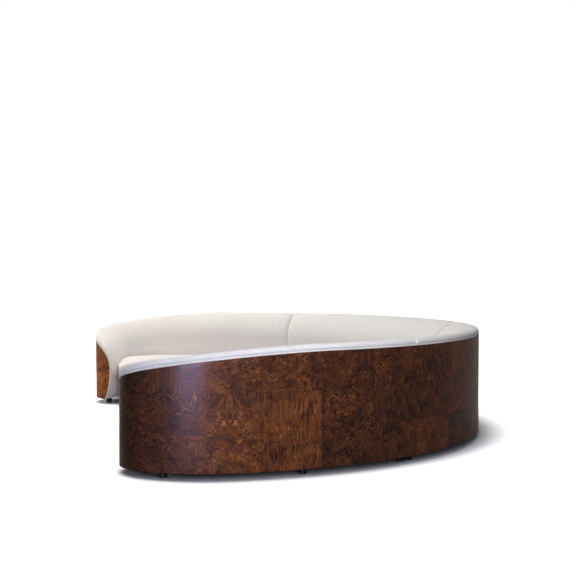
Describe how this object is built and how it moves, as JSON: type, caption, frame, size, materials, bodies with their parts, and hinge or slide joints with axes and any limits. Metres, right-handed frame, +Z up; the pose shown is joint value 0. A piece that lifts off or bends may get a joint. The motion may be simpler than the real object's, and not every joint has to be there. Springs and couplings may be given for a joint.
{
  "type": "curved sectional sofa",
  "caption": "Low horseshoe sectional sofa with a padded back and seat wrapped in a bent burl-veneer shell that sweeps down at each arm, on short round feet.",
  "frame": {"origin": "middle of the bounding box at floor level, on the sofa's mirror plane", "axes": "+Z up, +X to the right along the sofa's width as seen from its open side, +Y towards the middle of the back, so the open side faces -Y"},
  "size_m": [4.0408, 2.7436, 0.762],
  "materials": {
    "veneer": "bookmatched burl veneer in squares, satin lacquer",
    "ply": "bare plywood",
    "upholstery": "fine woven ivory cloth over foam",
    "webbing": "black woven elastic webbing",
    "dust_cover": "black spunbonded cloth",
    "foot": "black, slightly satin",
    "connector_steel": "zinc-plated"
  },
  "bodies": {
    "left_middle": {"left_middle_shell": "veneer", "left_middle_base": "ply", "left_middle_ribs": "ply", "left_middle_end_boards": "ply", "left_middle_cap_rail": "ply", "left_middle_back_sheet": "ply", "left_middle_back_pad": "upholstery", "left_middle_seat_rails": "ply", "left_middle_webbing": "webbing", "left_middle_seat_pad": "upholstery", "left_middle_front_panel": "upholstery", "left_middle_welt": "upholstery", "left_middle_dust_cover": "dust_cover", "left_middle_feet": "foot", "left_middle_jaws": "connector_steel"},
    "right_middle": {"right_middle_shell": "veneer", "right_middle_base": "ply", "right_middle_ribs": "ply", "right_middle_end_boards": "ply", "right_middle_cap_rail": "ply", "right_middle_back_sheet": "ply", "right_middle_back_pad": "upholstery", "right_middle_seat_rails": "ply", "right_middle_webbing": "webbing", "right_middle_seat_pad": "upholstery", "right_middle_front_panel": "upholstery", "right_middle_welt": "upholstery", "right_middle_dust_cover": "dust_cover", "right_middle_feet": "foot", "right_middle_connectors": "connector_steel"},
    "left_arm": {"left_arm_shell": "veneer", "left_arm_base": "ply", "left_arm_ribs": "ply", "left_arm_end_boards": "ply", "left_arm_cap_rail": "ply", "left_arm_back_sheet": "ply", "left_arm_back_pad": "upholstery", "left_arm_seat_rails": "ply", "left_arm_webbing": "webbing", "left_arm_seat_pad": "upholstery", "left_arm_front_panel": "upholstery", "left_arm_welt": "upholstery", "left_arm_dust_cover": "dust_cover", "left_arm_feet": "foot", "left_arm_pins": "connector_steel"},
    "right_arm": {"right_arm_shell": "veneer", "right_arm_base": "ply", "right_arm_ribs": "ply", "right_arm_end_boards": "ply", "right_arm_cap_rail": "ply", "right_arm_back_sheet": "ply", "right_arm_back_pad": "upholstery", "right_arm_seat_rails": "ply", "right_arm_webbing": "webbing", "right_arm_seat_pad": "upholstery", "right_arm_front_panel": "upholstery", "right_arm_welt": "upholstery", "right_arm_dust_cover": "dust_cover", "right_arm_feet": "foot", "right_arm_pins": "connector_steel"}
  },
  "joints": [
    {"name": "right_middle_pulls_off", "type": "slide", "parent": "left_middle", "child": "right_middle", "axis": [1, 0, 0], "range_m": [0, 0.6]},
    {"name": "left_arm_pulls_off", "type": "slide", "parent": "left_middle", "child": "left_arm", "axis": [-0.5299, -0.848, 0], "range_m": [0, 0.6]},
    {"name": "right_arm_pulls_off", "type": "slide", "parent": "right_middle", "child": "right_arm", "axis": [0.5299, -0.848, 0], "range_m": [0, 0.6]}
  ]
}
